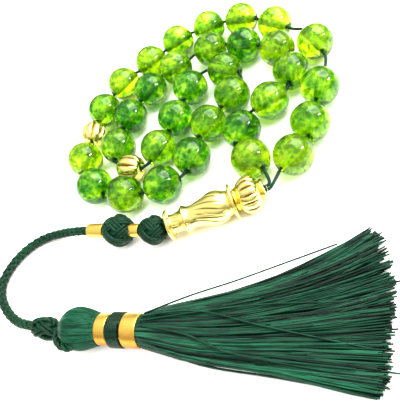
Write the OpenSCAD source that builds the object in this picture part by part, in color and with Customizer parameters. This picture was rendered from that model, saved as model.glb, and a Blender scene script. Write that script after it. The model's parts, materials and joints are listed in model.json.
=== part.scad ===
// Misbaha prayer beads lying in a loose heap. Thirty-three round glass beads in three runs of eleven
// hang on one thin cord with a gold spacer between the runs. Both ends of the cord go through a gold
// crown bead and a long gold imam bead into a Turk's head knot, and a braided cord goes on from there
// through two gold sleeves and a second knot to a thread tassel with two gold bands.
// +Z is up from the surface that the beads lie on, +X runs roughly along the tassel towards its tips,
// and the origin is on that surface under the middle of the whole layout.

/* [Glass beads] */
// Diameter of a glass bead
bead_d = 10; // [9:0.1:10]
// Diameter of the bore through a bead or spacer
bore_d = 1.5; // [1.3:0.1:2]

/* [Spacers] */
// Greatest diameter of a spacer, over its lobes
spacer_d = 7.5; // [6:0.1:7.6]
// Length of a spacer along its bore
spacer_l = 6.8; // [5:0.1:7]
// Lobes round a spacer
spacer_lobes = 8; // [5:1:12]

/* [Imam and crown] */
// Length of the imam bead alone
imam_l = 17.2; // [15:0.1:17.2]
// Length of the crown bead
crown_l = 7.65; // [7.65:0.01:7.7]
// Bore for the two cord ends through both
imam_bore_d = 2.5; // [2.2:0.1:3]
// Lobes round the crown bead
crown_lobes = 14; // [8:1:20]

/* [Cords and knots] */
// Diameter of the stringing cord
string_d = 0.8; // [0.6:0.1:1]
// Diameter of the braided cord
braid_d = 2.6; // [2:0.1:2.6]
// Diameter of the Turk's head knot beside the imam
near_knot_d = 7.2; // [6.6:0.1:7.2]
// Diameter of the Turk's head knot between the sleeves
mid_knot_d = 8; // [7:0.1:8]
// Outer diameter of the sleeve between the knots
short_sleeve_d = 3.3; // [3.2:0.1:3.4]
// Outer diameter of the sleeve on the braided cord
long_sleeve_d = 3.7; // [3.3:0.1:4]

/* [Tassel] */
// Diameter of the tassel's round head
head_d = 9.7; // [9.4:0.1:9.8]
// Outer diameter of the band beside the head
upper_band_d = 7; // [6.8:0.1:8]
// Outer diameter of the band beside the skirt
lower_band_d = 7.5; // [6.8:0.1:8]
// Outer diameter of the thread wrapping between the bands
wrap_d = 7.9; // [6.8:0.1:8.4]
// Diameter of the cord loop that the tassel hangs on
loop_d = 1.2; // [0.8:0.1:1.3]

/* [Hidden] */
RUN = 11;
BEADS = 3 * RUN;
function two_digits(n) = n < 10 ? str("0", n) : str(n);
function bead_name(n) = str("bead_", two_digits(n));

curve_fn = 48;
small_fn = 24;
cord_sides = 8;
gap = 0.1;

// Each bead's bore opens into a cone at both ends, this wide and this deep.
mouth_d = 2.2;
mouth_depth = 0.35;

// The strand as it lies: the centre of every bead and spacer in the order they are threaded.
bead_z = bead_d / 2;
spacer_z = 4.2;
crown_mouth = [16.5, -11.5];
cord_fork = [17.3, -11.2, 4.8];
first_run = [[23, -3], [27, 6.5], [29.5, 18], [28.5, 35], [17, 46.5], [6.5, 52],
    [-4, 52], [-14, 48.5], [-22, 41.5], [-30, 34], [-34.5, 24]];
spacer_1_at = [-36.5, 15.5];
second_run = [[-36.5, 5.5], [-31, -4.5], [-21, -8.5], [-10.5, -7], [-3.5, 1], [0, 11.5],
    [6, 20.5], [3, 31], [-7, 26.5], [-10, 15.5], [-13.5, 5.5]];
spacer_2_at = [-21.4, 0.6];
third_run = [[-26.5, 8.5], [-25, 19.5], [-20, 29], [-13, 36.5], [-2.5, 41.5], [8, 40],
    [18, 35.5], [22, 25.5], [16.5, 16], [9.5, 7.5], [12.5, -2.5]];
function raised(points, z) = [for (p = points) [p[0], p[1], z]];
stations = concat([cord_fork], raised(first_run, bead_z), raised([spacer_1_at], spacer_z),
    raised(second_run, bead_z), raised([spacer_2_at], spacer_z), raised(third_run, bead_z),
    [cord_fork]);
spacer_1_station = RUN + 1;
spacer_2_station = 2 * RUN + 2;
last_station = BEADS + 2;
function bead_station(n) = n <= RUN ? n : n <= 2 * RUN ? n + 1 : n + 2;
function is_spacer(i) = i == spacer_1_station || i == spacer_2_station;

// Each bore lies level. It points from the piece before it to the piece after it, turned by a few
// degrees where the strand winds tightly, so that the cord goes in and out of it with no kink.
bore_turns = concat([-10, 10, -10, 0, 0, 0, 0, 5, 0, 0, 0], [5],
    [-10, 0, 0, -10, 20, 0, -25, 0, 20, 0, 15], [0],
    [-15, 0, 5, -5, 0, -5, 10, 0, -25, 0, 20]);
function unit(v) = v / norm(v);
function heading(v) = atan2(v[1], v[0]);
function bore_heading(i) = heading(stations[i + 1] - stations[i - 1]) + bore_turns[i - 1];
function bore_way(i) = [cos(bore_heading(i)), sin(bore_heading(i)), 0];

// The cord runs straight through each bore and bends only between one mouth and the next.
// In the two gaps where the strand has slack it runs straight on, so that the beads can slide.
mouth_inset = 0.1;
slack_gaps = [3, 4];
slack_reach = 2;
function slack_past(gap_number) = len(search(gap_number, slack_gaps)) > 0 ? slack_reach : 0;
function half_run(i) = (is_spacer(i) ? spacer_l : bead_d) / 2 - mouth_inset;
function mouth_before(i) = stations[i] - (half_run(i) + slack_past(i - 1)) * bore_way(i);
function mouth_after(i) = stations[i] + (half_run(i) + slack_past(i)) * bore_way(i);

// A spacer's outline as shares of its half length and radius, and the depth and size of its lobes.
spacer_profile = [[-1, 0.5], [-0.85, 0.72], [-0.45, 0.94], [0, 1], [0.45, 0.94], [0.85, 0.72], [1, 0.5]];
spacer_groove_share = 0.86;
spacer_lobe_share = 0.3;

// The imam and crown lie on one axis; s is the distance along it from the imam's tail.
imam_turn = 18;
tail_z = 4.5;
tail_l = 25;
imam_way = [cos(imam_turn), sin(imam_turn)];
imam_tail = crown_mouth - tail_l * imam_way;
imam_profile = [[0, 3.3], [0.3, 3.7], [0.9, 3.6], [1.3, 2.5], [3.4, 2.6], [4.3, 3.3], [4.8, 3.5],
    [5.3, 3.3], [6.2, 2.8], [7.6, 2.95], [9.3, 3.35], [10.6, 3.75], [11.8, 4.05], [13, 4.1],
    [14.2, 3.8], [15.4, 3.2], [16, 3.2], [16.4, 4.1], [16.8, 4.3], [imam_l, 4.1]];
crown_profile = [[0, 2.7], [0.8, 2.8], [1.3, 3.4], [2.1, 4.1], [3.1, 4.5], [4.2, 4.5],
    [5.3, 4], [6.2, 3.2], [6.8, 2.5], [crown_l, 2.2]];
crown_r = 4.55;
crown_groove_r = 3.9;
crown_lobe_r = 0.75;
pair_half_spread = 0.5;
pair_tuck = 1.2;

// The stringing cord starts and ends at the crown's mouth, where the cord ends inside meet it.
pair_gap = 0.3;
function crown_mouth_point(aside) = [
    crown_mouth[0] + pair_gap * imam_way[0] - aside * imam_way[1],
    crown_mouth[1] + pair_gap * imam_way[1] + aside * imam_way[0],
    tail_z];
string_route = concat(
    [crown_mouth_point(-pair_half_spread), [17.8, -11.5, 4.6]],
    [for (i = [1:last_station]) each [mouth_before(i), mouth_after(i)]],
    [[17.4, -9.6, 4.8], [17.3, -10.5, 4.6], crown_mouth_point(pair_half_spread)]);

// The knots and sleeves lie on a second axis; d is the distance along it from the near knot.
knot_turn = -5;
near_knot_at = [-11, -20];
knot_way = [-cos(knot_turn), -sin(knot_turn)];
function knot_point(d) = [near_knot_at[0] + d * knot_way[0], near_knot_at[1] + d * knot_way[1], tail_z];
mid_knot_d_along = 9.8;
short_sleeve_from = 3.7;
short_sleeve_to = 7.3;
long_sleeve_from = 13.9;
long_sleeve_to = 18.3;
braid_bore_d = braid_d + 0.2;
knot_stub = 0.6;
pole_share = 0.98;

// The tassel knot, and the braided cord's route to it.
tassel_knot_at = [-35.6, -43.5, 3.1];
tassel_knot_turn = -9;
tassel_knot_way = [cos(tassel_knot_turn), sin(tassel_knot_turn), 0];
tassel_knot_half_l = 3.4;
braid_end_gap = 0.4;
tassel_knot_profile = [[-1, 1.4], [-0.8, 2.2], [-0.35, 2.8], [0.35, 2.8], [0.8, 2.2], [1, 1.4]];
braid_route = concat(
    [knot_point(knot_stub), knot_point(mid_knot_d_along), knot_point(long_sleeve_to + 1)],
    [[-36, -17.5, 3.4], [-40, -17, 2.2], [-44, -17, 1.5], [-48, -18.5, 1.3], [-51.5, -21.5, 1.3],
        [-54, -25.5, 1.3], [-55, -30, 1.3], [-53.5, -34.5, 1.3], [-50, -38.5, 1.3],
        [-46, -41, 1.6], [-42.5, -42.2, 2.5]],
    [tassel_knot_at - (tassel_knot_half_l + braid_end_gap) * tassel_knot_way]);

// The tassel lies on a third axis; x is the distance along it from the loop's pin.
tassel_at = [-25.3, -44.5, 4.9];
tassel_turn = -3;
pin_rise = 1;
pin_r = loop_d / 2;
pin_clearance = 0.1;
loop_half_w = 5.65;
loop_route = [[0, loop_half_w, pin_rise], [-3, 5.2, pin_rise], [-5.2, 2.8, 0.5], [-5.9, 0, 0],
    [-5.2, -2.8, 0.5], [-3, -5.2, pin_rise], [0, -loop_half_w, pin_rise]];
head_r = head_d / 2;
head_profile = [[-4.6, 0.9], [-4.2, 2], [-3.2, 3.4], [-1.6, 4.5], [0, head_r], [1.5, head_r - 0.05],
    [3.3, 4.3], [4.9, 3.7], [5.7, 3.4]];
core_r = 3.5;
core_clearance = 0.1;
neck_r = 3;
neck_from = 4.2;
band_bore_r = neck_r + 0.1;
upper_band_from = 5.8;
neck_wrap_from = 8.8;
lower_band_from = 12.4;
skirt_from = 16.3;
// The skirt fans out and settles on the surface: distance along, near edge, far edge,
// thickness and height of the middle.
skirt_fan = [[skirt_from, -3.4, 3.4, 6.8, 4.9], [21, -4.3, 6.1, 6, 4.3], [31, -6, 9.2, 5, 3.1],
    [43, -7.2, 12.8, 3.8, 2], [55, -8.3, 18.7, 2.6, 1.4], [64.6, -8.8, 23.6, 1.6, 0.9]];
slice_l = 0.4;
slice_fn = 32;

glass_green = "yellowgreen";
polished_gold = "gold";
cord_green = "darkgreen";
thread_green = "seagreen";

// A solid of revolution about Z from [height, radius] pairs.
module turned(profile) {
    tip = len(profile) - 1;
    outline = concat([[0, profile[0][0]]], [for (p = profile) [p[1], p[0]]], [[0, profile[tip][0]]]);
    rotate_extrude($fn = curve_fn) polygon(outline);
}

// A bore of diameter d along Z through everything within reach.
module bore(d, reach) {
    cylinder(h = 2 * reach, d = d, center = true, $fn = curve_fn);
}

// Lobes of radius lobe_r standing round a core, as tall bars that trim a turned shape.
module lobed_bar(outer_r, groove_r, lobe_r, lobes, reach) {
    linear_extrude(height = 2 * reach, center = true) {
        circle(r = groove_r, $fn = curve_fn);
        for (i = [0:lobes - 1]) {
            rotate(i * 360 / lobes) translate([outer_r - lobe_r, 0]) circle(r = lobe_r, $fn = small_fn);
        }
    }
}

// The way from one point of a route to the next, the last one's being the way into it.
function leg(route, i) = unit(route[min(i, len(route) - 2) + 1] - route[min(i, len(route) - 2)]);

// The points of a ring round a route's point, square to the mean of the legs on both sides of it.
function cord_ring(route, i, d) =
    let (way = unit(leg(route, i) + leg(route, max(i - 1, 0))),
        side = unit(cross([0, 0, 1], way)),
        lift = cross(way, side))
    [for (k = [0:cord_sides - 1])
        let (turn = 360 * k / cord_sides)
        route[i] + d / 2 * (cos(turn) * side + sin(turn) * lift)];

// A round cord through the route's points, as one closed polyhedron with square-cut ends.
module cord(route, d) {
    last = len(route) - 1;
    points = [for (i = [0:last]) each cord_ring(route, i, d)];
    sides = [for (i = [0:last - 1]) for (k = [0:cord_sides - 1])
        let (a = i * cord_sides + k, b = i * cord_sides + (k + 1) % cord_sides)
        each [[a, a + cord_sides, b + cord_sides], [a, b + cord_sides, b]]];
    start_cap = [for (k = [1:cord_sides - 2]) [0, k, k + 1]];
    end_first = last * cord_sides;
    end_cap = [for (k = [1:cord_sides - 2]) [end_first, end_first + k + 1, end_first + k]];
    polyhedron(points = points, faces = concat(sides, start_cap, end_cap));
}

// Puts a shape that was made along +Z on a station of the strand.
module threaded_at(i) {
    translate(stations[i]) rotate([0, 90, bore_heading(i)]) children();
}

// Puts a shape that was made along +Z on the imam's axis, from its tail.
module on_imam_axis(s) {
    translate([imam_tail[0], imam_tail[1], tail_z]) rotate([0, 90, imam_turn]) {
        translate([0, 0, s]) children();
    }
}

// Puts a shape that was made along +Z on the knots' axis, away from the imam.
module on_knot_axis(d) {
    translate(knot_point(d)) rotate([0, -90, knot_turn]) children();
}

// Puts a shape in the tassel's own frame, with +X along its axis.
module on_tassel() {
    translate(tassel_at) rotate([0, 0, tassel_turn]) children();
}

// Stands a shape that was made along +Z on the tassel's axis.
module along_tassel(x) {
    on_tassel() translate([x, 0, 0]) rotate([0, 90, 0]) children();
}

module bead(n) {
    color(glass_green) threaded_at(bead_station(n)) {
        difference() {
            sphere(d = bead_d, $fn = curve_fn);
            bore(bore_d, bead_d);
            for (end = [0, 180]) {
                rotate([end, 0, 0]) translate([0, 0, bead_d / 2 - mouth_depth]) {
                    cylinder(h = 2 * mouth_depth, d1 = bore_d, d2 = 2 * mouth_d - bore_d, $fn = curve_fn);
                }
            }
        }
    }
}

module spacer(i) {
    half_l = spacer_l / 2;
    r = spacer_d / 2;
    profile = [for (p = spacer_profile) [p[0] * half_l, p[1] * r]];
    color(polished_gold) threaded_at(i) {
        difference() {
            intersection() {
                turned(profile);
                lobed_bar(r, spacer_groove_share * r, spacer_lobe_share * r, spacer_lobes, spacer_l);
            }
            bore(bore_d, spacer_l);
        }
    }
}

module stringing_cord() {
    color(cord_green) cord(string_route, string_d);
}

module imam_body() {
    color(polished_gold) on_imam_axis(0) {
        difference() {
            turned(imam_profile);
            bore(imam_bore_d, tail_l);
        }
    }
}

module imam_crown() {
    color(polished_gold) on_imam_axis(tail_l - crown_l) {
        difference() {
            intersection() {
                turned(crown_profile);
                lobed_bar(crown_r, crown_groove_r, crown_lobe_r, crown_lobes, 2 * crown_l);
            }
            bore(imam_bore_d, tail_l);
        }
    }
}

// The cord's two ends side by side inside the imam and crown, down into the near knot.
module imam_cord_pair() {
    color(cord_green) on_imam_axis(-pair_tuck) {
        for (side = [-1, 1]) {
            translate([0, side * pair_half_spread, 0]) {
                cylinder(h = tail_l + pair_tuck, d = string_d, $fn = small_fn);
            }
        }
    }
}

// A round knot with a bore for the braided cord, cut square where the bore comes out.
module round_knot(d) {
    intersection() {
        sphere(d = d, $fn = curve_fn);
        cylinder(h = pole_share * d, d = 2 * d, center = true, $fn = curve_fn);
    }
}

module near_knot() {
    socket_reach = 2 * near_knot_d;
    color(cord_green) difference() {
        on_knot_axis(0) round_knot(near_knot_d);
        on_knot_axis(0) cylinder(h = socket_reach, d = braid_bore_d, $fn = curve_fn);
        on_imam_axis(-pair_tuck - gap) cylinder(h = socket_reach, d = imam_bore_d, $fn = curve_fn);
    }
}

module mid_knot() {
    sleeve_socket = mid_knot_d_along - short_sleeve_to - gap;
    color(cord_green) on_knot_axis(mid_knot_d_along) {
        difference() {
            round_knot(mid_knot_d);
            bore(braid_bore_d, mid_knot_d);
            translate([0, 0, -mid_knot_d - sleeve_socket]) {
                cylinder(h = mid_knot_d, d = short_sleeve_d + 2 * gap, $fn = curve_fn);
            }
        }
    }
}

module sleeve(from, to, d) {
    color(polished_gold) on_knot_axis(from) {
        difference() {
            cylinder(h = to - from, d = d, $fn = curve_fn);
            bore(braid_bore_d, 2 * tail_l);
        }
    }
}

module braided_cord() {
    color(cord_green) cord(braid_route, braid_d);
}

module tassel_knot() {
    profile = [for (p = tassel_knot_profile) [p[0] * tassel_knot_half_l, p[1]]];
    color(cord_green) translate(tassel_knot_at) rotate([0, 90, tassel_knot_turn]) turned(profile);
}

module tassel_pin(d) {
    translate([0, 0, pin_rise]) rotate([90, 0, 0]) {
        cylinder(h = 2 * loop_half_w + loop_d, d = d, center = true, $fn = curve_fn);
    }
}

// The loop's bight lies round the head and its straight part goes through the head as a pin.
module tassel_loop() {
    color(cord_green) on_tassel() {
        tassel_pin(loop_d);
        cord(loop_route, loop_d - 2 * gap);
    }
}

module tassel_core_bead() {
    color("burlywood") on_tassel() {
        difference() {
            sphere(r = core_r, $fn = curve_fn);
            tassel_pin(loop_d + 2 * pin_clearance);
        }
    }
}

module tassel_head() {
    neck_bore_l = 2 * head_d;
    color(thread_green) difference() {
        along_tassel(0) turned(head_profile);
        on_tassel() sphere(r = core_r + core_clearance, $fn = curve_fn);
        along_tassel(0) cylinder(h = neck_bore_l, r = band_bore_r, $fn = curve_fn);
        on_tassel() tassel_pin(loop_d + 2 * pin_clearance);
    }
}

module ring(from, to, d, paint) {
    color(paint) along_tassel(from) {
        difference() {
            cylinder(h = to - from - gap, d = d, $fn = curve_fn);
            bore(2 * band_bore_r, tail_l);
        }
    }
}

module upper_band() {
    ring(upper_band_from, neck_wrap_from, upper_band_d, polished_gold);
}

module neck_wrap() {
    ring(neck_wrap_from, lower_band_from, wrap_d, cord_green);
}

module lower_band() {
    ring(lower_band_from, skirt_from, lower_band_d, polished_gold);
}

// One slice of the skirt: a flat bar with round edges, standing across the tassel's axis.
module skirt_slice(s) {
    for (y = [s[1] + s[3] / 2, s[2] - s[3] / 2]) {
        translate([s[0], y, s[4] - tassel_at[2]]) rotate([0, 90, 0]) {
            cylinder(h = slice_l, d = s[3], $fn = slice_fn);
        }
    }
}

module tassel_skirt() {
    color(thread_green) {
        along_tassel(neck_from) cylinder(h = skirt_from - neck_from + slice_l, r = neck_r, $fn = curve_fn);
        on_tassel() {
            for (i = [1:len(skirt_fan) - 1]) {
                hull() {
                    skirt_slice(skirt_fan[i - 1]);
                    skirt_slice(skirt_fan[i]);
                }
            }
        }
    }
}

for (n = [1:BEADS]) bead(n);
spacer(spacer_1_station);  // spacer_1
spacer(spacer_2_station);  // spacer_2
stringing_cord();
imam_body();
imam_crown();
imam_cord_pair();
near_knot();
sleeve(short_sleeve_from, short_sleeve_to, short_sleeve_d);  // short_sleeve
mid_knot();
sleeve(long_sleeve_from, long_sleeve_to, long_sleeve_d);  // long_sleeve
braided_cord();
tassel_knot();
tassel_loop();
tassel_core_bead();
tassel_head();
upper_band();
neck_wrap();
lower_band();
tassel_skirt();
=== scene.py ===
"""The looks of a string of misbaha prayer beads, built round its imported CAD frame.

Lengths inside a class are in millimetres, and a placing matrix takes them to metres in the frame.
"""

import json
import logging
import math
import random
from dataclasses import dataclass, field
from enum import Enum
from typing import Callable, Sequence

import bmesh
import bpy
from mathutils import Matrix, Vector


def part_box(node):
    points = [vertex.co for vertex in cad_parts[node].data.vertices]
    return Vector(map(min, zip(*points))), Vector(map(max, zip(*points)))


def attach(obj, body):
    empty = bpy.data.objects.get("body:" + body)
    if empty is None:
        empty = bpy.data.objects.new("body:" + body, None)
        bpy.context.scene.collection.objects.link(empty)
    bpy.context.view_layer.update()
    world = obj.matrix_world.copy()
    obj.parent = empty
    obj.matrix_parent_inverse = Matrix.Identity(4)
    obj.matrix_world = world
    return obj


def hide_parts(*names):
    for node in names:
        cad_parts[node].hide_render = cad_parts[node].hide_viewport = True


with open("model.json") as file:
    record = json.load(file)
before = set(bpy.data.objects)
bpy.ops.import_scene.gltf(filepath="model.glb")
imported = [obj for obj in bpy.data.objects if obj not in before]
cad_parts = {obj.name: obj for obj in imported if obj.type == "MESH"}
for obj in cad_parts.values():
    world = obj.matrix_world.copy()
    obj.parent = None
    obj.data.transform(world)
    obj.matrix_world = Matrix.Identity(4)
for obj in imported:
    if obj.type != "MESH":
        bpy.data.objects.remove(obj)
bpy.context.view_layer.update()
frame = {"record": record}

MM = 0.001
RUN = 11
BEADS = 3 * RUN
FULL_TURN = 2 * math.pi
UP = Vector((0, 0, 1))

log = logging.getLogger("misbaha")

Profile = Sequence[tuple[float, float]]
Colour = tuple[float, float, float]
Point = tuple[float, float, float]


class Slot(Enum):
    """The record's material slots."""

    GLASS = "green_glass"
    GOLD = "polished_gold"
    SATIN_GOLD = "satin_gold"
    CORD = "green_cord"
    WRAP = "wrap_thread"
    SILK = "tassel_silk"
    WOOD = "core_wood"


class Depth(Enum):
    """How deep the green of a bead's glass is: the thin and the thick colour of its mottling."""

    PALE = ((0.37, 0.56, 0.006), (0.14, 0.34, 0.001))
    MIDDLE = ((0.23, 0.48, 0.005), (0.052, 0.235, 0.001))
    DEEP = ((0.09, 0.38, 0.006), (0.012, 0.15, 0.001))


# ---------------------------------------------------------------- materials


class Wiring:
    """A material's node tree, with short ways to add and join its nodes."""

    def __init__(self, name: str) -> None:
        """Starts an empty material of that name."""
        self.material = bpy.data.materials.new(name)
        self.material.use_nodes = True
        self.tree = self.material.node_tree
        self.tree.nodes.clear()
        self.out = self.tree.nodes.new("ShaderNodeOutputMaterial")

    def add(self, kind: str, settings: dict | None = None, **sockets: object) -> bpy.types.Node:
        """Adds a node.

        Args:
            kind: the node's type after "ShaderNode".
            settings: attributes of the node itself.
            sockets: input sockets by name, with "_" for a space; a value or an output socket.

        Returns:
            The new node.
        """
        node = self.tree.nodes.new("ShaderNode" + kind)
        for key, value in (settings or {}).items():
            setattr(node, key, value)
        for key, value in sockets.items():
            self.feed(node.inputs[key.replace("_", " ")], value)
        return node

    def feed(self, socket: bpy.types.NodeSocket, value: object) -> None:
        """Links an output socket to a socket, or sets its value."""
        if isinstance(value, bpy.types.NodeSocket):
            self.tree.links.new(value, socket)
        else:
            socket.default_value = value

    def object_points(self, stretch: Point = (1, 1, 1), shift: Point = (0, 0, 0)) -> bpy.types.NodeSocket:
        """Object coordinates, scaled and shifted."""
        where = self.add("TexCoord").outputs["Object"]
        return self.add("Mapping", Vector=where, Scale=stretch, Location=shift).outputs["Vector"]

    def ramp(self, factor: bpy.types.NodeSocket,
             stops: Sequence[tuple[float, Colour]]) -> bpy.types.NodeSocket:
        """The colour of a ramp over a factor, its stops pairs of position and colour."""
        node = self.add("ValToRGB", Fac=factor)
        elements = node.color_ramp.elements
        while len(elements) < len(stops):
            elements.new(0.5)
        for element, (place, colour) in zip(elements, stops):
            element.position = place
            element.color = (*colour, 1)
        return node.outputs["Color"]

    def noise(self, where: bpy.types.NodeSocket, scale: float, detail: float = 2) -> bpy.types.NodeSocket:
        """Smooth noise at points, from 0 to 1."""
        return self.add("TexNoise", Vector=where, Scale=scale, Detail=detail).outputs["Fac"]

    def bump(self, height: bpy.types.NodeSocket, strength: float, depth: float) -> bpy.types.NodeSocket:
        """A normal that a height field tilts, over a depth in millimetres."""
        return self.add("Bump", Height=height, Strength=strength, Distance=depth * MM).outputs["Normal"]

    def scaled(self, value: bpy.types.NodeSocket, low: float, high: float) -> bpy.types.NodeSocket:
        """A factor from 0 to 1 taken to the range from low to high."""
        return self.add("MapRange", Value=value, To_Min=low, To_Max=high).outputs["Result"]

    def weighed(self, value: bpy.types.NodeSocket, weight: float,
                extra: bpy.types.NodeSocket) -> bpy.types.NodeSocket:
        """A value times a weight, plus an extra."""
        node = self.add("Math", {"operation": "MULTIPLY_ADD"})
        for socket, term in zip(node.inputs, (value, weight, extra)):
            self.feed(socket, term)
        return node.outputs[0]

    def done(self, shader: bpy.types.Node) -> bpy.types.Material:
        """Joins the shader to the output and gives the material."""
        self.feed(self.out.inputs["Surface"], shader.outputs[0])
        return self.material


@dataclass(frozen=True)
class CrackleGlass:
    """Clear green glass, mottled where its inside is crazed, with shade painted darker round its rim."""

    name: str
    depth: Depth
    shift: float

    def make(self) -> bpy.types.Material:
        """The glass as a material."""
        thin, thick = self.depth.value
        spot = tuple(0.42 * c for c in thick)
        wiring = Wiring(self.name)
        where = wiring.object_points(shift=(self.shift, self.shift, 0))
        clouds = wiring.noise(where, 340, 4)
        cells = wiring.add("TexVoronoi", Vector=where, Scale=800.0).outputs["Distance"]
        mixed = wiring.weighed(clouds, 1.1, wiring.scaled(cells, -0.18, 0.14))
        colour = wiring.ramp(mixed, [(0.34, spot), (0.45, thick), (0.58, thin), (0.74, (0.72, 0.92, 0.06))])
        # painted shade: a dark olive rim is multiplied into the base colour where the surface turns edge-on
        painted_rim_shade_facing = wiring.add("LayerWeight", Blend=0.35).outputs["Facing"]
        rim = wiring.ramp(painted_rim_shade_facing, [(0.62, (1, 1, 1)), (0.95, (0.30, 0.32, 0.05))])
        tint = wiring.add("Mix", {"data_type": "RGBA", "blend_type": "MULTIPLY"})
        tint.inputs[0].default_value = 1.0
        wiring.feed(tint.inputs[6], colour)
        wiring.feed(tint.inputs[7], rim)
        return wiring.done(wiring.add("BsdfPrincipled", Base_Color=tint.outputs[2], Roughness=0.03,
                                      IOR=1.5, Transmission_Weight=1.0, Specular_IOR_Level=0.3))


@dataclass(frozen=True)
class CrackFilm:
    """The thin bright film of air in a crack inside the glass."""

    name: str
    tint: Colour

    def make(self) -> bpy.types.Material:
        """The film as a material."""
        wiring = Wiring(self.name)
        veil = wiring.scaled(wiring.noise(wiring.object_points(), 1500, 2), 0.25, 0.95)
        return wiring.done(wiring.add("BsdfPrincipled", Base_Color=(*self.tint, 1), Roughness=0.2,
                                      Alpha=veil))


@dataclass(frozen=True)
class Gold:
    """Gold plate, with brown shade painted down in its grooves and round the lower side of the bands and
    sleeves.
    """

    name: str
    colour: Colour
    shade: Colour
    roughness: float

    def make(self) -> bpy.types.Material:
        """The plate as a material."""
        wiring = Wiring(self.name)
        # painted shade: the shape's attribute blends the gold towards its brown shade colour, mottled a
        # little
        groove_and_shade = wiring.add("Attribute", {"attribute_name": "groove_and_shade"}).outputs["Fac"]
        mottle = wiring.noise(wiring.object_points(), 900, 2)
        depth = wiring.weighed(groove_and_shade, 1.0, wiring.scaled(mottle, -0.12, 0.12))
        middle = tuple(0.5 * (a + b) for a, b in zip(self.colour, self.shade))
        colour = wiring.ramp(depth, [(0.15, self.colour), (0.5, middle), (0.85, self.shade)])
        rough = wiring.scaled(mottle, self.roughness * 0.8, self.roughness * 1.3)
        return wiring.done(wiring.add("BsdfPrincipled", Base_Color=colour, Metallic=1.0, Roughness=rough,
                                      Normal=wiring.bump(mottle, 0.08, 0.1)))


@dataclass(frozen=True)
class Thread:
    """Spun thread or cord: fine fibres along it, a soft sheen and a little unevenness."""

    name: str
    light: Colour
    dark: Colour
    sheen: float = 0.4
    roughness: float = 0.5
    grain: Point = (900, 900, 900)

    def make(self) -> bpy.types.Material:
        """The thread as a material."""
        wiring = Wiring(self.name)
        fibre = wiring.noise(wiring.object_points(self.grain), 1, 3)
        blotch = wiring.noise(wiring.object_points(), 120, 2)
        mixed = wiring.weighed(fibre, 0.75, wiring.scaled(blotch, 0.0, 0.25))
        colour = wiring.ramp(mixed, [(0.38, self.dark), (0.66, self.light)])
        shader = wiring.add("BsdfPrincipled", Base_Color=colour, Roughness=self.roughness,
                            Specular_IOR_Level=0.35, Normal=wiring.bump(fibre, 0.4, 0.05))
        shader.inputs["Sheen Weight"].default_value = self.sheen
        shader.inputs["Sheen Roughness"].default_value = 0.4
        shader.inputs["Sheen Tint"].default_value = (*self.light, 1)
        return wiring.done(shader)


@dataclass(frozen=True)
class Paper:
    """The pale floor."""

    name: str = "floor_paper"
    colour: Colour = (0.93, 0.925, 0.90)

    def make(self) -> bpy.types.Material:
        """The floor as a material."""
        wiring = Wiring(self.name)
        return wiring.done(wiring.add("BsdfPrincipled", Base_Color=(*self.colour, 1), Roughness=0.7))


# ---------------------------------------------------------------- shaping


def placing(origin: Vector, along: Vector) -> Matrix:
    """A matrix from millimetres about +Z to metres in the frame.

    Args:
        origin: where the local origin goes, in metres.
        along: the direction that the local +Z takes.

    Returns:
        The matrix; the local +Y stays level.
    """
    z_way = along.normalized()
    y_way = z_way.cross(UP).normalized()
    x_way = y_way.cross(z_way)
    turn = Matrix((x_way, y_way, z_way)).transposed().to_4x4()
    return Matrix.Translation(origin) @ turn @ Matrix.Scale(MM, 4)


def centre(node: str) -> Vector:
    """The middle of a CAD node's box, in metres."""
    low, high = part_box(node)
    return (Vector(low) + Vector(high)) / 2


def polar(radius: float, angle: float, height: float) -> Vector:
    """A point by its radius, angle and height."""
    return Vector((radius * math.cos(angle), radius * math.sin(angle), height))


def line_length(path: Sequence[Vector]) -> float:
    """How long a line of points is."""
    return sum((b - a).length for a, b in zip(path, path[1:]))


def flowing(points: Sequence[Sequence[float]], steps: int) -> list[Vector]:
    """A smooth line through points, each stretch between two of them cut in so many steps."""
    knots = [Vector(p) for p in points]
    line = []
    for i in range(len(knots) - 1):
        before, a, b = knots[max(i - 1, 0)], knots[i], knots[i + 1]
        after = knots[min(i + 2, len(knots) - 1)]
        for k in range(steps):
            t = k / steps
            line.append(0.5 * (2 * a + (b - before) * t + (2 * before - 5 * a + 4 * b - after) * t ** 2
                               + (3 * a - before - 3 * b + after) * t ** 3))
    line.append(knots[-1])
    return line


def eased(points: Sequence[Vector], rounds: int) -> list[Vector]:
    """A line with its corners cut so many times; it never swings wider than its own points."""
    line = list(points)
    for _ in range(rounds):
        cut = [line[0]]
        for a, b in zip(line, line[1:]):
            cut.extend([a.lerp(b, 0.25), a.lerp(b, 0.75)])
        line = cut + [line[-1]]
    return line


def ball(radius: float, steps: int, start: float = 0.0) -> list[tuple[float, float]]:
    """A ball's profile; an angle cuts its poles off."""
    turns = [start + (math.pi - 2 * start) * i / steps for i in range(steps + 1)]
    return [(-radius * math.cos(turn), radius * math.sin(turn)) for turn in turns]


def spun(profile: Sequence[Sequence[float]], segments: int, closed: bool = False) -> bmesh.types.BMesh:
    """A shape turned about Z.

    Args:
        profile: pairs of height and radius.
        segments: how many parts the turn has.
        closed: whether the profile joins up with itself, as a tube's does.

    Returns:
        The shape, with its seam and poles closed and its faces outwards.
    """
    bm = bmesh.new()
    verts = [bm.verts.new((r, 0, z)) for z, r in profile]
    edges = [bm.edges.new(pair) for pair in zip(verts, verts[1:])]
    if closed:
        edges.append(bm.edges.new((verts[-1], verts[0])))
    bmesh.ops.spin(bm, geom=verts + edges, cent=(0, 0, 0), axis=(0, 0, 1), angle=FULL_TURN,
                   steps=segments, use_merge=True)
    bmesh.ops.remove_doubles(bm, verts=bm.verts, dist=1e-4)
    bmesh.ops.recalc_face_normals(bm, faces=bm.faces)
    return bm


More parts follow.
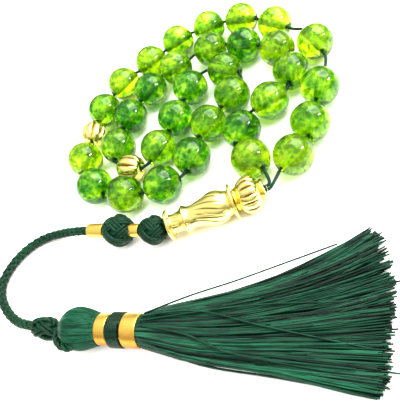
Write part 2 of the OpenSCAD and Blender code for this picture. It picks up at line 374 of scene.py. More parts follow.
def fluted(bm: bmesh.types.BMesh, rule: Callable[[float, float], tuple[float, float]]) -> None:
    """Presses flutes in a turned shape, and stores how much shade is painted on each point.

    Args:
        bm: the shape, turned about Z.
        rule: gives (how far a point moves out, how much shade is painted on it) from its height and angle.
    """
    layer = bm.verts.layers.float.new("groove_and_shade")
    for vert in bm.verts:
        radius = math.hypot(vert.co.x, vert.co.y)
        if radius < 1e-3:
            continue
        out, groove_and_shade = rule(vert.co.z, math.atan2(vert.co.y, vert.co.x))
        scale = (radius + out) / radius
        vert.co.x *= scale
        vert.co.y *= scale
        vert[layer] = groove_and_shade


def smoothed(profile: Profile, steps: int = 4) -> list[tuple[float, float]]:
    """A profile's points with smooth steps between them."""
    line = flowing([(z, r, 0) for z, r in profile], steps)
    return [(p.x, max(p.y, 0)) for p in line]


@dataclass
class Strand:
    """One round strand of thread or cord, as points in metres."""

    points: list[Vector]
    radius: float
    shade: int = 0
    closed: bool = False
    tip: float = 1.0
    radii: list[float] | None = None


def strand_mesh(name: str, strands: Sequence[Strand], sides: int) -> bpy.types.Mesh:
    """Round strands as one mesh.

    Args:
        name: the mesh's name.
        strands: the strands; radius in millimetres, shade the number of its material.
        sides: 4, 6 or 8 sides to each.

    Returns:
        The mesh, in metres in the frame.
    """
    curve = bpy.data.curves.new(name, "CURVE")
    curve.dimensions = "3D"
    curve.bevel_depth = MM
    curve.bevel_resolution = (sides - 4) // 2
    curve.use_fill_caps = True
    for _ in range(1 + max(s.shade for s in strands)):  # a spline takes no shade that has no slot yet
        curve.materials.append(None)
    for strand in strands:
        spline = curve.splines.new("POLY")
        count = len(strand.points)
        spline.points.add(count - 1)
        spline.use_cyclic_u = strand.closed
        spline.material_index = strand.shade
        spline.use_smooth = True
        flat = [c for p in strand.points for c in (*p, 1.0)]
        spline.points.foreach_set("co", flat)
        taper = [strand.radius * (1 + (strand.tip - 1) * i / (count - 1)) for i in range(count)]
        radii = strand.radii or taper
        spline.points.foreach_set("radius", radii)
    carrier = bpy.data.objects.new(name, curve)
    mesh = bpy.data.meshes.new_from_object(carrier)
    bpy.data.objects.remove(carrier)
    bpy.data.curves.remove(curve)
    return mesh


def stood(name: str, data: bpy.types.ID) -> bpy.types.Object:
    """An object made of some data and linked in the scene."""
    thing = bpy.data.objects.new(name, data)
    bpy.context.scene.collection.objects.link(thing)
    return thing


def finish(name: str, shape: bmesh.types.BMesh | bpy.types.Mesh, body: str,
           materials: Sequence[bpy.types.Material], replaced: Sequence[str] = (),
           place: Matrix | None = None, smooth: bool = True) -> bpy.types.Object:
    """Makes a finished piece of a shape.

    Args:
        name: the piece's name.
        shape: its shape; a bmesh is placed by the matrix.
        body: the body that it rides on.
        materials: what it is made of.
        replaced: the CAD nodes that it stands for.
        place: the matrix from the shape's own millimetres to the frame.
        smooth: whether its faces are shaded smooth.

    Returns:
        The piece.
    """
    if isinstance(shape, bmesh.types.BMesh):
        mesh = bpy.data.meshes.new(name)
        if place is not None:
            bmesh.ops.transform(shape, matrix=place, verts=shape.verts)
        shape.to_mesh(mesh)
        shape.free()
    else:
        mesh = shape
    last = len(materials) - 1
    shades = [min(face.material_index, last) for face in mesh.polygons]  # clear() sets them all to 0
    mesh.materials.clear()
    for material in materials:
        mesh.materials.append(material)
    mesh.polygons.foreach_set("material_index", shades)
    mesh.polygons.foreach_set("use_smooth", [smooth] * len(mesh.polygons))
    piece = stood(name, mesh)
    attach(piece, body)
    if replaced:
        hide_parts(*replaced)
    log.info("%s: %d faces on %s", name, len(mesh.polygons), body)
    return piece


# ---------------------------------------------------------------- the studio


@dataclass
class Studio:
    """The camera, the pale floor and the soft light."""

    target: Point = (0.5, -13.5, 5.0)
    distance: float = 126.17
    elevation: float = 50.0
    heading: float = 122.6
    roll: float = 32.53
    lens: float = 47.287
    floor_half: float = 600.0

    def camera(self) -> None:
        """Sets the camera."""
        data = bpy.data.cameras.new("camera")
        data.lens = self.lens
        data.sensor_width = 36
        data.sensor_fit = "HORIZONTAL"
        data.clip_start = 0.005
        camera = stood("camera", data)
        elevation, heading = math.radians(self.elevation), math.radians(self.heading)
        forward = polar(1, heading, 0) * math.cos(elevation) - UP * math.sin(elevation)
        look = forward.to_track_quat("-Z", "Y").to_matrix().to_4x4()
        turn = Matrix.Rotation(-math.radians(self.roll), 4, "Z")
        place = Vector(self.target) * MM - forward * self.distance * MM
        camera.matrix_world = Matrix.Translation(place) @ look @ turn
        bpy.context.scene.camera = camera

    def floor(self) -> None:
        """Lays the floor."""
        bm = bmesh.new()
        bmesh.ops.create_grid(bm, x_segments=1, y_segments=1, size=self.floor_half * MM)
        mesh = bpy.data.meshes.new("floor")
        bm.to_mesh(mesh)
        bm.free()
        mesh.materials.append(Paper().make())
        floor = stood("floor", mesh)

    def softbox(self, name: str, towards: Point, distance: float, size: float, power: float,
                colour: Colour = (1, 1, 1), mirrored: bool = True) -> None:
        """Hangs a square soft light that faces the beads.

        Args:
            name: its name.
            towards: the direction from the beads to the light.
            distance: how far away it is, in millimetres.
            size: its width, in millimetres.
            power: its power, in watts.
            colour: its colour.
            mirrored: whether shiny things mirror it.
        """
        data = bpy.data.lights.new(name, "AREA")
        data.size = size * MM
        data.energy = power
        data.color = colour
        light = stood(name, data)
        light.visible_glossy = mirrored
        way = Vector(towards).normalized()
        light.location = Vector(self.target) * MM + way * distance * MM
        light.rotation_euler = (-way).to_track_quat("-Z", "Y").to_euler()

    def sky(self) -> None:
        """Lights the room from all round, brighter overhead; the camera itself sees plain white."""
        world = bpy.data.worlds.new("studio")
        bpy.context.scene.world = world
        world.use_nodes = True
        tree = world.node_tree
        shade = tree.nodes["Background"]
        where = tree.nodes.new("ShaderNodeTexCoord")
        apart = tree.nodes.new("ShaderNodeSeparateXYZ")
        ramp = tree.nodes.new("ShaderNodeValToRGB")
        tree.links.new(where.outputs["Generated"], apart.inputs[0])
        tree.links.new(apart.outputs["Z"], ramp.inputs[0])
        seen = tree.nodes.new("ShaderNodeLightPath")
        mixed = tree.nodes.new("ShaderNodeMix")
        mixed.data_type = "RGBA"
        mixed.inputs[7].default_value = (1, 1, 1, 1)
        tree.links.new(seen.outputs["Is Camera Ray"], mixed.inputs[0])
        tree.links.new(ramp.outputs["Color"], mixed.inputs[6])
        tree.links.new(mixed.outputs[2], shade.inputs["Color"])
        stops = ramp.color_ramp.elements
        stops[0].position, stops[0].color = 0.05, (0.20, 0.21, 0.16, 1)
        stops[1].position, stops[1].color = 0.65, (0.95, 0.95, 0.93, 1)
        shade.inputs["Strength"].default_value = 1.0

    def build(self) -> None:
        """Makes the whole studio."""
        self.camera()
        self.floor()
        self.sky()
        self.softbox("window", (0.83, 0.20, 0.51), 500, 55, 0.7)
        self.softbox("lamp", (0.80, 0.05, 0.60), 500, 35, 0.3)
        self.softbox("softbox", (0.38, 0.50, 0.78), 600, 520, 4.0, (1.0, 0.99, 0.92))
        self.softbox("overhead", (0.1, 0.1, 1.0), 700, 500, 4.5, mirrored=False)
        self.softbox("fill", (-0.5, -0.6, 0.9), 700, 400, 3, mirrored=False)
        scene = bpy.context.scene
        scene.view_settings.view_transform = "Standard"
        scene.view_settings.look = "Medium High Contrast"
        scene.cycles.use_denoising = True
        log.info("studio ready")


# ---------------------------------------------------------------- the strand of beads


def joint(name: str) -> dict:
    """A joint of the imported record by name."""
    return next(j for j in frame["record"]["behaviour"]["joints"] if j["name"] == name)


def turning_joint(node: str) -> dict:
    """The joint that a bead or spacer turns or slides by."""
    child = node + "_body"
    return next(j for j in frame["record"]["behaviour"]["joints"] if j["child"] == child)


@dataclass
class Threading:
    """Where each bead and spacer is on the cord, in the order that they are threaded."""

    names: list[str] = field(default_factory=list)

    def __post_init__(self) -> None:
        """Works out the order: a spacer follows each of the first two runs."""
        for n in range(1, BEADS + 1):
            self.names.append(f"bead_{n:02d}")
            if n in (RUN, 2 * RUN):
                self.names.append(f"spacer_{n // RUN}")

    def place(self, node: str) -> Matrix:
        """The matrix that threads a shape made about +Z in a node's place."""
        return placing(centre(node), Vector(turning_joint(node)["axis"]))


@dataclass
class StringingCord:
    """The thin cord through all the beads, from the fork at the crown and back to it."""

    threading: Threading
    diameter: float = 0.8
    mouth_past_joint: float = 15.3
    pair_half_spread: float = 0.5
    mouth_inset: float = 0.1
    turn_in: float = 0.6
    slack_gaps: tuple[int, ...] = (3, 4)
    slack_reach: float = 2.0
    bead_half: float = 5.0
    spacer_half: float = 3.4
    fork_out: Point = (17.8, -11.5, 4.6)
    fork_back: tuple[Point, ...] = ((17.4, -9.6, 4.8), (17.3, -10.5, 4.6))

    def route(self) -> list[Vector]:
        """The points that the cord runs through, in metres."""
        points = [self.crown_point(-1), Vector(self.fork_out) * MM]
        for station, node in enumerate(self.threading.names, 1):
            way = Vector(turning_joint(node)["axis"])
            half = self.spacer_half if node.startswith("spacer") else self.bead_half
            half -= self.mouth_inset
            before = half + (self.slack_reach if station - 1 in self.slack_gaps else 0.0)
            after = half + (self.slack_reach if station in self.slack_gaps else 0.0)
            middle = centre(node)
            for along in (-before, self.turn_in - half, half - self.turn_in, after):
                points.append(middle + way * along * MM)
        points.extend([Vector(p) * MM for p in self.fork_back] + [self.crown_point(1)])
        return points

    def crown_point(self, side: int) -> Vector:
        """Where one end of the cord comes out of the crown, on one side of the other end."""
        turning = joint("imam_turn")
        way = Vector(turning["axis"])
        aside = Vector((-way.y, way.x, 0)) * self.pair_half_spread * side
        return Vector(turning["pos_m"]) + (way * self.mouth_past_joint + aside) * MM

    def build(self, material: bpy.types.Material) -> None:
        path = eased(self.route(), 2)
        mesh = strand_mesh("stringing_cord_run", [Strand(path, self.diameter / 2)], 8)
        piece = finish("stringing_cord_run", mesh, "strand", [material], ["stringing_cord"])


@dataclass
class GlassBeads:
    """The round crackle glass beads, each turned with a chamfered bore and crazed inside."""

    threading: Threading
    radius: float = 5.0
    bore: float = 0.75
    chamfer: float = 0.35
    segments: int = 64
    cracks: int = 60
    pale: tuple[int, ...] = (1, 4, 5, 6, 9, 10, 12, 29, 33)
    deep: tuple[int, ...] = (13, 15, 16, 20, 21, 24, 25, 28, 32)

    def depth(self, number: int) -> Depth:
        """How deep the green of a bead is."""
        if number in self.pale:
            return Depth.PALE
        return Depth.DEEP if number in self.deep else Depth.MIDDLE

    def shell(self) -> bmesh.types.BMesh:
        """The glass: a ball with a bore and a chamfer at each mouth."""
        mouth = self.bore + 2 * self.chamfer
        arc = ball(self.radius, 30, math.asin(mouth / self.radius))
        floor = self.radius - self.chamfer
        bore = [(floor * (1 - k / 4), self.bore) for k in range(9)]
        return spun(arc + bore, self.segments, closed=True)

    def crackle(self, seed: int) -> bmesh.types.BMesh:
        """The frosted wall of the bore, and cracks that stay clear of it and of the surface."""
        dice = random.Random(seed)
        bm = bmesh.new()
        frosted = self.bore + 0.06
        bmesh.ops.create_cone(bm, cap_ends=False, segments=14, radius1=frosted, radius2=frosted,
                              depth=2 * self.radius - 1.6)
        for _ in range(self.cracks):
            size = dice.uniform(0.15, 0.8)
            reach = self.radius - 0.35 - size
            where = Vector((dice.gauss(0, 1), dice.gauss(0, 1), dice.gauss(0, 1))).normalized()
            where *= reach * dice.uniform(0.55, 1.0)
            if math.hypot(where.x, where.y) < self.bore + 0.3 + size:
                continue
            facing = Vector((dice.gauss(0, 1), dice.gauss(0, 1), dice.gauss(0, 1))).to_track_quat("Z", "Y")
            spot = Matrix.Translation(where) @ facing.to_matrix().to_4x4()
            flake = bmesh.ops.create_circle(bm, cap_ends=True, cap_tris=True, segments=7, radius=size,
                                            matrix=spot)["verts"]
            for vert in flake:
                vert.co += Vector([dice.uniform(-0.35, 0.35) * size for _ in range(3)])
        return bm

    def build(self) -> None:
        """Makes every bead and its crackle."""
        film = CrackFilm("crack_film", (0.80, 1.0, 0.05)).make()
        for number in range(1, BEADS + 1):
            node = f"bead_{number:02d}"
            place = self.threading.place(node)
            glass = CrackleGlass(f"crackle_glass_{number:02d}", self.depth(number), number * 0.37).make()
            finish(f"glass_{node}", self.shell(), f"{node}_body", [glass], [node], place)
            finish(f"crackle_{node}", self.crackle(number), f"{node}_body", [film],
                   (), place, smooth=False)


@dataclass
class MelonSpacers:
    """The two lobed gold spacers."""

    threading: Threading
    radius: float = 3.75
    half_length: float = 3.4
    bore: float = 0.75
    lobes: int = 8
    segments: int = 128

    def shape(self) -> bmesh.types.BMesh:
        """A melon with its lobes along the bore."""
        outline = [(-1, 0.3), (-1, 0.46), (-0.9, 0.66), (-0.55, 0.91), (0, 1),
                   (0.55, 0.91), (0.9, 0.66), (1, 0.46), (1, 0.3)]
        profile = smoothed([(z * self.half_length, r * self.radius) for z, r in outline], 4)
        bore = [(self.half_length * (1 - k / 2), self.bore) for k in range(5)]
        bm = spun(profile + bore, self.segments, closed=True)
        fluted(bm, self.lobe)
        return bm

    def lobe(self, height: float, angle: float) -> tuple[float, float]:
        """How far a point of the melon moves out, and how much brown shade is painted on it in the lobes'
        valleys.
        """
        share = 1 - (height / self.half_length) ** 2
        valley = 1 - abs(math.cos(angle * self.lobes / 2))
        groove_and_shade = valley ** 2
        return -0.75 * groove_and_shade * max(share, 0.0), groove_and_shade * (0.4 + 0.6 * max(share, 0.0))

    def build(self, gold: bpy.types.Material) -> None:
        """Makes both spacers."""
        for number in (1, 2):
            node = f"spacer_{number}"
            finish(f"melon_{node}", self.shape(), f"{node}_body", [gold], [node],
                   self.threading.place(node))


# ---------------------------------------------------------------- the imam


@dataclass
class Imam:
    """The long gold imam bead and its crown, both with flutes pressed in."""

    tail_back: float = 10.0
    segments: int = 168
    body_profile: Profile = ((0.0, 1.25), (0.0, 3.2), (0.35, 3.75), (0.8, 3.65), (1.2, 2.45), (2.2, 2.35),
                             (3.5, 2.6), (4.3, 3.2), (4.8, 3.5), (5.3, 3.2), (6.2, 2.8), (7.6, 2.95),
                             (9.3, 3.35), (10.6, 3.75), (11.8, 4.05), (13.0, 4.1), (14.2, 3.85),
                             (15.4, 3.2), (16.0, 3.1), (16.3, 3.7), (16.7, 4.3), (17.0, 4.3),
                             (17.2, 3.9), (17.2, 1.25))
    crown_from: float = 17.35
    crown_profile: Profile = ((0.0, 1.25), (0.0, 2.6), (0.7, 2.9), (1.2, 3.5), (2.1, 4.15), (3.1, 4.55),
                              (4.2, 4.6), (5.2, 4.1), (5.9, 3.4), (6.3, 2.5), (6.55, 2.3), (6.75, 2.6),
                              (7.2, 2.6), (7.45, 2.1), (7.55, 1.25))
    body_flutes: int = 14
    crown_flutes: int = 14
    twist: float = -0.11
    cord_radius: float = 0.4
    cord_aside: float = 0.5
    cord_heights: tuple[float, ...] = (-1.2, 8, 17, 25.2)

    def place(self) -> Matrix:
        """The matrix from the imam's axis, with its tail at the origin."""
        turning = joint("imam_turn")
        way = Vector(turning["axis"])
        return placing(Vector(turning["pos_m"]) - way * self.tail_back * MM, way)

    def body_flute(self, height: float, angle: float) -> tuple[float, float]:
        """The twisted flutes of the neck and the belly."""
        neck = math.exp(-((height - 2.4) / 0.9) ** 2)
        belly = math.exp(-((height - 10.9) / 3.4) ** 4)
        share = max(0.45 * neck, belly)
        wave = math.cos(self.body_flutes * 0.5 * (angle + self.twist * height))
        valley = (1 - abs(wave)) ** 4
        # the second value is brown shade painted down in the flute
        return -0.3 * share * valley, share * valley * 1.1

    def crown_flute(self, height: float, angle: float) -> tuple[float, float]:
        """The short upright flutes round the crown's middle."""
        share = math.exp(-((height - 3.6) / 1.75) ** 4)
        valley = (1 - abs(math.cos(self.crown_flutes * 0.5 * angle))) ** 2
        # the second value is brown shade painted down in the flute
        return -0.5 * share * valley, share * valley * 1.1

    def build(self, gold: bpy.types.Material) -> None:
        """Makes the imam and its crown."""
        place = self.place()
        body = spun(smoothed(self.body_profile, 5), self.segments, closed=True)
        fluted(body, self.body_flute)
        finish("imam_shell", body, "imam", [gold], ["imam_body"], place)
        crown = spun(smoothed(self.crown_profile, 5), self.segments, closed=True)
        fluted(crown, self.crown_flute)
        finish("crown_shell", crown, "crown", [gold], ["imam_crown"],
               place @ Matrix.Translation((0, 0, self.crown_from)))

    def build_pair(self, cord: bpy.types.Material) -> None:
        """Makes the two ends of the stringing cord side by side down the bore."""
        place = self.place()
        strands = []
        for side in (-1, 1):
            line = [place @ Vector((0, side * self.cord_aside, z)) for z in self.cord_heights]
            strands.append(Strand(line, self.cord_radius))
        finish("cord_ends", strand_mesh("cord_ends", strands, 8), "tail", [cord],
               ["imam_cord_pair"])


# ---------------------------------------------------------------- knots, sleeves and braid


@dataclass
class TurksHead:
    """A Turk's head knot: one cord plaited round a ball."""

    place: Matrix
    radius: float
    cord_radius: float
    leads: int = 5
    bights: int = 6
    latitude: float = 62.0
    squash: float = 1.0
    plies: int = 3
    ply_pitch: float = 1.85

    def strand(self, ply: float) -> Strand:
        """One closed ply of the plaited cord, so many ply widths beside the cord's middle."""
        count = 72 * self.leads
        weave = 0.75 * self.cord_radius
        ball = self.radius - self.cord_radius - weave
        reach = math.radians(self.latitude)
        crossing = math.cos if self.leads % 2 == 0 else math.sin
        points = []
        for i in range(count):
            t = FULL_TURN * i / count
            high = reach * math.sin(self.bights * t)
            out = ball + weave * crossing((self.leads - 1) * self.bights * t)
            around = self.leads * t
            climb = reach * self.bights * math.cos(self.bights * t)
            level_pace = self.leads * math.cos(high)
            pace = math.hypot(climb, level_pace)
            step = ply * self.ply_pitch * self.cord_radius / out
            high_ply = high + step * level_pace / pace
            around_ply = around - step * climb / pace / max(math.cos(high), 0.3)
            points.append(self.place @ polar(out * math.cos(high_ply), around_ply,
                                             out * math.sin(high_ply) * self.squash))
        return Strand(points, self.cord_radius, closed=True)

    def core(self) -> Strand:
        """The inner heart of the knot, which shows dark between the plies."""
        size = self.radius - 2.2 * self.cord_radius
        steps = 12
        turns = [math.pi * (i + 0.5) / steps for i in range(steps)]
        points = [self.place @ Vector((0, 0, -size * self.squash * math.cos(turn))) for turn in turns]
        return Strand(points, size, radii=[size * math.sin(turn) for turn in turns])

    def build(self, name: str, node: str, cord: bpy.types.Material) -> None:
        """Makes the knot."""
        plies = [self.strand(k - (self.plies - 1) / 2) for k in range(self.plies)]
        finish(name, strand_mesh(name, plies + [self.core()], 8), "tail", [cord], [node])


def beside(track: Sequence[Vector], i: int, angle: float, out: float) -> Vector:
    """A point so many millimetres out from a track's point, at an angle from its level side."""
    ahead = (track[min(i + 1, len(track) - 1)] - track[max(i - 1, 0)]).normalized()
    side = UP.cross(ahead).normalized()
    lift = ahead.cross(side)
    return track[i] + (side * math.cos(angle) + lift * math.sin(angle)) * out * MM


def twisted(path: Sequence[Vector], radius: float, plies: int, pitch: float) -> list[Strand]:
    """Plies laid round each other along a path in metres; the radius and pitch are in millimetres."""
    length = line_length(path) / MM
    count = max(int(length / pitch * 12), 8)
    track = evenly(path, count)
    ply = radius / (1 + 1 / math.sin(math.pi / plies)) if plies > 2 else radius / 2
    lines: list[list[Vector]] = [[] for _ in range(plies)]
    for i in range(len(track)):
        for k, line in enumerate(lines):
            angle = FULL_TURN * (length * i / count / pitch + k / plies)
            line.append(beside(track, i, angle, radius - ply))
    swell = 1.12
    return [Strand(line, ply * swell) for line in lines]


@dataclass
class Braid:
    """A round braid of eight strands along a path."""

    radius: float = 1.3
    strand_radius: float = 0.45
    pitch: float = 7.6
    weave: float = 0.17
    samples: int = 16

    def strands(self, path: Sequence[Vector]) -> list[Strand]:
        """The eight strands and a core along a path in metres."""
        length = line_length(path) / MM
        count = int(length / self.pitch * self.samples)
        track = evenly(path, count)
        middle = self.radius - self.strand_radius - self.weave
        lines: list[list[Vector]] = [[] for _ in range(8)]
        for i in range(len(track)):
            turn = FULL_TURN * (length * i / count) / self.pitch
            for k in range(8):
                sense = 1 if k < 4 else -1
                angle = sense * turn + (k % 4) * FULL_TURN / 4
                out = middle + sense * self.weave * math.cos(4 * turn)
                lines[k].append(beside(track, i, angle, out))
        strands = [Strand(line, self.strand_radius) for line in lines]
        strands.append(Strand(track[::4] + [track[-1]], middle))
        return strands


def evenly(path: Sequence[Vector], count: int) -> list[Vector]:
    """A path's points taken at even distances, count of them and its end."""
    marks = [0.0]
    for a, b in zip(path, path[1:]):
        marks.append(marks[-1] + (b - a).length)
    line, k = [], 0
    for i in range(count + 1):
        want = marks[-1] * i / count
        while k < len(path) - 2 and marks[k + 1] < want:
            k += 1
        span = marks[k + 1] - marks[k]
        line.append(path[k].lerp(path[k + 1], (want - marks[k]) / span if span else 0.0))
    return line


def painted_underside_shade(height: float, angle: float) -> tuple[float, float]:
    """Paints shade into the gold round a band's near and lower side, and leaves its shape alone."""
    return 0.0, 0.55 - 0.5 * math.cos(angle + 0.7)


@dataclass
class Tail:
    """What follows the imam: two Turk's head knots, two gold sleeves, the braided cord and its knot."""

    braid_d: float = 2.6
    short_to_near: float = 5.5
    short_to_mid: float = 4.3
    tassel_knot_half: float = 3.4
    braid_tuck: float = 0.8
    tassel_knot_turn: float = -9.0
    start_in_knot: float = 0.6
    sleeved_to: float = 13.8
    sleeve_bore: float = 1.47
    rim: float = 0.12
    free_route: tuple[Point, ...] = (
        (-36, -17.5, 3.4), (-40, -17, 2.2), (-44, -17, 1.5), (-48, -18.5, 1.3), (-51.5, -21.5, 1.3),
        (-54, -25.5, 1.3), (-55, -30, 1.3), (-53.5, -34.5, 1.3), (-50, -38.5, 1.3), (-46, -41, 1.6),
        (-42.5, -42.2, 2.5))

    def __post_init__(self) -> None:
        """Finds the axis that the first two knots and both sleeves are on, and the way of the last knot."""
        self.knot_way = polar(1, math.radians(self.tassel_knot_turn), 0)
        self.short_middle = centre("short_sleeve")
        self.way = (centre("long_sleeve") - self.short_middle).normalized()

    def on_axis(self, along: float) -> Vector:
        """A point of the knots' axis, so many millimetres past the short sleeve's middle."""
        return self.short_middle + self.way * along * MM

    def build_braid(self, cord: bpy.types.Material) -> None:
        start = self.on_axis(self.start_in_knot - self.short_to_near)
        held = [start, self.on_axis(self.short_to_mid), self.on_axis(self.sleeved_to)]
        end = centre("tassel_knot") - self.knot_way * (self.tassel_knot_half - self.braid_tuck) * MM
        route = held + [Vector(p) * MM for p in self.free_route] + [end]
        path = flowing(route, 8)
        mesh = strand_mesh("braided_cord_run", Braid().strands(path), 6)
        piece = finish("braided_cord_run", mesh, "tail", [cord], ["braided_cord"])

    def sleeve(self, name: str, node: str, half: float, radius: float, gold: bpy.types.Material) -> None:
        """Makes a thin gold sleeve, plain but for its eased rims."""
        rim, bore = self.rim, self.sleeve_bore
        outline = [(-half, radius - rim), (-half + rim, radius), (0, radius + 0.02), (half - rim, radius),
                   (half, radius - rim), (half, bore), (0, bore), (-half, bore)]
        bm = spun(smoothed(outline[:5], 3) + outline[5:], 64, closed=True)
        # painted shade round the sleeve's near and lower side
        fluted(bm, painted_underside_shade)
        finish(name, bm, "tail", [gold], [node], placing(centre(node), self.way))

    def build(self, cord: bpy.types.Material, gold: bpy.types.Material) -> None:
        """Makes the knots and sleeves."""
        near = placing(self.on_axis(-self.short_to_near), self.way)
        mid = placing(self.on_axis(self.short_to_mid), self.way)
        TurksHead(near, 3.75, 0.37, leads=4, bights=5).build("near_turks_head", "near_knot", cord)
        TurksHead(mid, 4.25, 0.41, leads=4, bights=5).build("mid_turks_head", "mid_knot", cord)
        knot = placing(centre("tassel_knot"), self.knot_way)
        TurksHead(knot, 3.0, 0.42, leads=3, bights=4, latitude=62, squash=1.5, plies=2).build(
            "tassel_cord_knot", "tassel_knot", cord)
        self.sleeve("short_gold_sleeve", "short_sleeve", 1.8, 1.65, gold)
        self.sleeve("long_gold_sleeve", "long_sleeve", 2.2, 1.85, gold)


# ---------------------------------------------------------------- the tassel


@dataclass
class Tassel:
    """The thread tassel: head, two gold bands, thread wrap, skirt, and the loop that it hangs on."""

    pin_rise: float = 1.0
    wrap_from: float = 8.85
    wrap_to: float = 12.35
    wrap_pitch: float = 0.5
    head_threads: int = 120
    threads: int = 860
    tufts: int = 46
    upper_edge: Profile = ((16.3, 3.4), (21, 5.8), (27, 7.6), (35, 10.2), (43, 13.5), (51, 17.6),
                           (58, 21.8), (66, 27.8))
    lower_edge: Profile = ((16.3, -3.4), (23, -4.7), (28, -5.7), (38, -6.3), (45, -6.5), (52, -7.3),
                           (60, -8.2), (66, -9.0))
    fall: tuple[Point, ...] = ((16.3, 4.9, 3.3), (22, 4.3, 2.9), (32, 3.1, 2.4), (45, 2.0, 1.8),
                               (57, 1.5, 1.2), (68, 1.0, 0.75))
    strays: tuple[tuple[Point, ...], ...] = (
        ((17, 3, 7), (26, 8, 5), (35, 12, 3.5), (44, 17, 1), (56, 22, 0.5)),
        ((17, 2, 8), (29, 4, 6.5), (42, 2, 4.5), (63, -1, 2)),
        ((17, 0, 8), (27, -1, 6.5), (38, -4, 4.5), (60, -5, 2.5)),
        ((17, -3, 7), (30, -6, 3), (45, -7, 1), (64, -9, 0.5)),
        ((17, 1, 8), (40, 6, 5), (66, 9, 1)))
    skirt_from: float = 15.8
    skirt_length: float = 50.0
    ripple: float = 0.16
    thread_radius: float = 0.235
    stray_radius: float = 0.26
    skirt_mix: tuple[int, ...] = (3, 5, 3)
    head_mix: tuple[int, ...] = (9, 2, 0)
    head_profile: Profile = ((-4.75, 0.0), (-4.6, 0.9), (-4.2, 2.0), (-3.2, 3.4), (-1.6, 4.5), (0, 4.85),
                             (1.5, 4.8), (3.3, 4.35), (4.9, 3.75), (5.75, 3.4), (5.75, 0.0))
    head_thread_radius: float = 0.15
    wrap_layers: Profile = ((3.35, 0.32), (3.68, 0.25))
    wrap_steps: int = 40
    loop_near: tuple[Point, ...] = ((0.6, -4.55, 1.0), (-1.2, -4.9, 1.1), (-3, -4.3, 1.2),
                                    (-4.8, -2.6, 0.6), (-6.1, -1.0, -0.6))
    loop_apex: Point = (-6.7, 0, -1.2)
    loop_far: tuple[Point, ...] = ((-6.1, 1.0, -1.2), (-4.9, 2.5, -1.3), (-3, 4, -1.6), (-1.2, 4.5, -1.5),
                                   (0.4, 4.3, -0.4))
    core_radius: float = 3.5

    def __post_init__(self) -> None:
        """Finds the tassel's own frame: +X along it, +Z up, its origin below the loop's pin."""
        lift = joint("tassel_lift")
        side = Vector(lift["axis"])
        along = Vector((-side.y, side.x, 0))
        origin = Vector(lift["pos_m"]) - UP * self.pin_rise * MM
        turn = Matrix((along, UP.cross(along), UP)).transposed().to_4x4()
        self.frame = Matrix.Translation(origin) @ turn @ Matrix.Scale(MM, 4)
        self.axis = placing(origin, along)
        self.surface = -origin.z / MM

    def between(self, table: Sequence[Sequence[float]], x: float, column: int) -> float:
        """A value of a table read at x, with straight lines between its rows."""
        a, b = next((a, b) for a, b in zip(table, table[1:]) if x <= b[0] or b is table[-1])
        return a[column] + (b[column] - a[column]) * (x - a[0]) / (b[0] - a[0])

    def thread(self, dice: random.Random, across: float, level: float, reach: float, shade: int,
               tuft: tuple[float, float, float]) -> Strand:
        """One thread of the skirt.

        Args:
            dice: where its small bends come from.
            across: its place in the fan, from -1 at the near edge to 1 at the far edge.
            level: its place in the thickness, from -1 below to 1 on top.
            reach: how far along the tassel it ends.
            shade: the number of its shade.
            tuft: how its tuft waves, where the wave starts and how far the tuft swings out.

        Returns:
            The thread.
        """
        steps = 11
        wander, phase = tuft[0] + dice.gauss(0, 0.22), tuft[1] + dice.gauss(0, 0.4)
        swerve = tuft[2] + dice.gauss(0, 0.45)
        hover = dice.gauss(0, 0.25)
        points = []
        for i in range(steps):
            x = self.skirt_from + (reach - self.skirt_from) * i / (steps - 1)
            far = self.between(self.upper_edge, x, 1)
            near = self.between(self.lower_edge, x, 1)
            free = (x - self.skirt_from) / self.skirt_length
            y = (far + near) / 2 + (far - near) / 2 * across
            y += free * (wander * math.sin(phase + x * self.ripple) + swerve * free)
            half = self.between(self.fall, x, 2) - 0.15
            z = self.between(self.fall, x, 1) + half * level + free * hover
            z = max(z, 0.25) + self.surface
            points.append(self.frame @ Vector((x, y, z)))
        return Strand(points, self.thread_radius, shade, tip=0.8)

    def build_skirt(self, silks: Sequence[bpy.types.Material]) -> None:
        """Makes the skirt of loose threads."""
        dice = random.Random(33)
        strands = []
        tufts = [(dice.gauss(0, 0.45), dice.uniform(0, FULL_TURN), dice.gauss(0, 0.8))
                 for _ in range(self.tufts)]
        for i in range(self.threads):
            turn = dice.uniform(-0.15, 1.15) * math.pi if i % 5 else dice.uniform(0, FULL_TURN)
            rim = dice.uniform(0.85, 1.0) if i % 4 else math.sqrt(dice.random())
            across, level = rim * math.cos(turn), rim * math.sin(turn)
            share = (across + 1) / 2
            reach = 63.8 + 2.6 * math.sin(math.pi * (1 - share) ** 0.8) - 3.0 * share ** 4
            reach += dice.gauss(0, 0.8)
            shade = dice.choices(range(len(silks)), weights=self.skirt_mix)[0]
            tuft = tufts[min(int(share * self.tufts), self.tufts - 1)]
            strands.append(self.thread(dice, across, level, reach, shade, tuft))
        for route in self.strays:
            lifted = [(x, y, z + self.surface + 0.2) for x, y, z in route]
            line = [self.frame @ p for p in flowing(lifted, 5)]
            strands.append(Strand(line, self.stray_radius, 1, tip=0.85))
        mesh = strand_mesh("tassel_threads", strands, 4)
        finish("tassel_threads", mesh, "tassel", silks, ["tassel_skirt"])

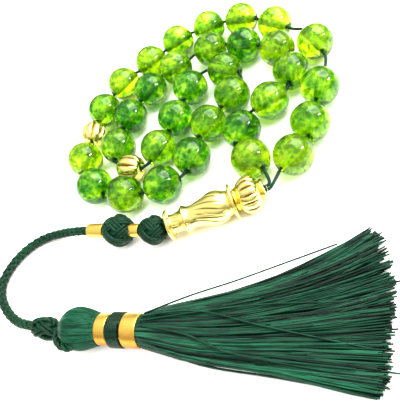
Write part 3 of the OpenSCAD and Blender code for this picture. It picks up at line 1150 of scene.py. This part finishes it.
    def build_head(self, silks: Sequence[bpy.types.Material], wrap: bpy.types.Material) -> None:
        """Makes the round head and the thread wrap between the bands."""
        line = smoothed(self.head_profile, 4)
        bm = spun([(z, max(r - 0.2, 0)) for z, r in line], 96)
        finish("head_heart", bm, "tassel", [silks[0]], (), self.axis)
        dice = random.Random(7)
        strands = []
        for i in range(self.head_threads):
            turn = FULL_TURN * i / self.head_threads + dice.uniform(-0.02, 0.02)
            swirl, sink = dice.gauss(0, 0.05), dice.uniform(0.13, 0.24)
            points = []
            for z, r in line[2:-4]:
                angle = turn + swirl * math.sin(0.5 * z)
                points.append(self.axis @ polar(max(r - sink, 0.1), angle, z))
            shade = dice.choices(range(len(silks)), weights=self.head_mix)[0]
            strands.append(Strand(points, self.head_thread_radius, shade))
        mesh = strand_mesh("head_threads", strands, 4)
        finish("head_threads", mesh, "tassel", silks, ["tassel_head"])
        room = self.wrap_to - self.wrap_from
        steps = int(room / self.wrap_pitch) * self.wrap_steps
        strands = []
        for radius, thick in self.wrap_layers:
            line = []
            for i in range(steps + 1):
                height = self.wrap_from + thick + (room - 2 * thick) * i / steps
                line.append(self.axis @ polar(radius, FULL_TURN * i / self.wrap_steps, height))
            strands.append(Strand(line, thick))
        mesh = strand_mesh("wrap_threads", strands, 6)
        finish("wrap_threads", mesh, "tassel", [wrap], ["neck_wrap"])

    def band(self, name: str, node: str, start: float, end: float, radius: float,
             gold: bpy.types.Material) -> None:
        """Makes a satin gold band, plain but for its eased rims."""
        outline = [(start, radius - 0.2), (start + 0.2, radius - 0.02), ((start + end) / 2, radius),
                   (end - 0.2, radius - 0.02), (end, radius - 0.2), (end, 3.1), (start, 3.1)]
        bm = spun(smoothed(outline[:5], 4) + outline[5:], 96, closed=True)
        # painted shade round the band's near and lower side
        fluted(bm, painted_underside_shade)
        finish(name, bm, "tassel", [gold], [node], self.axis)

    def build_loop(self, cord: bpy.types.Material) -> None:
        """Makes the loop of cord round the head and the pin part of it through the head."""
        bight = (*self.loop_near, self.loop_apex, *self.loop_far)
        line = [self.frame @ p for p in flowing(bight, 6)]
        pin = [self.frame @ Vector((0.3, y, self.pin_rise)) for y in (-4.4, 0, 4.4)]
        mesh = strand_mesh("loop_cord", twisted(line, 0.85, 2, 3) + [Strand(pin, 0.5)], 8)
        finish("loop_cord", mesh, "loop", [cord], ["tassel_loop"])

    def build_core(self, wood: bpy.types.Material) -> None:
        """Makes the turned wooden ball inside the head."""
        bm = spun(ball(self.core_radius, 16), 32)
        finish("core_ball", bm, "tassel", [wood], ["tassel_core_bead"], self.axis)


def main() -> None:
    """Builds the whole object in order."""
    logging.basicConfig(level=logging.INFO, format="%(message)s")
    Studio().build()
    cord = Thread("cord_green", (0.002, 0.058, 0.023), (0.0004, 0.009, 0.004), sheen=0.0,
                  grain=(2500, 2500, 2500)).make()
    threading = Threading()
    StringingCord(threading).build(cord)
    tail = Tail()
    tail.build_braid(cord)
    # the second colour of each gold is its painted shade colour
    gold = Gold("polished_gold", (1.0, 0.86, 0.31), (0.22, 0.09, 0.006), 0.17).make()
    satin = Gold("satin_gold", (1.0, 0.70, 0.17), (0.48, 0.16, 0.01), 0.36).make()
    imam = Imam()
    imam.build(gold)
    imam.build_pair(cord)
    tail.build(cord, satin)
    MelonSpacers(threading).build(gold)
    GlassBeads(threading).build()
    silks = [Thread(name, *looks, grain=(60, 1800, 1800)).make() for name, *looks in (
        ("silk_light", (0.010, 0.105, 0.052), (0.003, 0.036, 0.019), 0.05, 0.4),
        ("silk_middle", (0.004, 0.052, 0.026), (0.001, 0.018, 0.010), 0.04, 0.42),
        ("silk_dark", (0.001, 0.014, 0.008), (0.0003, 0.004, 0.003), 0.02, 0.45))]
    wrap = Thread("wrap_green", (0.003, 0.042, 0.020), (0.0006, 0.008, 0.004), 0.02, 0.45,
                  (200, 1500, 1500)).make()
    wood = Thread("core_wood", (0.62, 0.42, 0.22), (0.45, 0.28, 0.13), 0.0, 0.6, (200, 900, 900)).make()
    tassel = Tassel()
    tassel.build_skirt(silks)
    tassel.build_head(silks, wrap)
    tassel.band("upper_gold_band", "upper_band", 5.85, 8.7, 3.5, satin)
    tassel.band("lower_gold_band", "lower_band", 12.45, 16.2, 3.75, satin)
    tassel.build_loop(cord)
    tassel.build_core(wood)


if __name__ == "__main__":
    main()
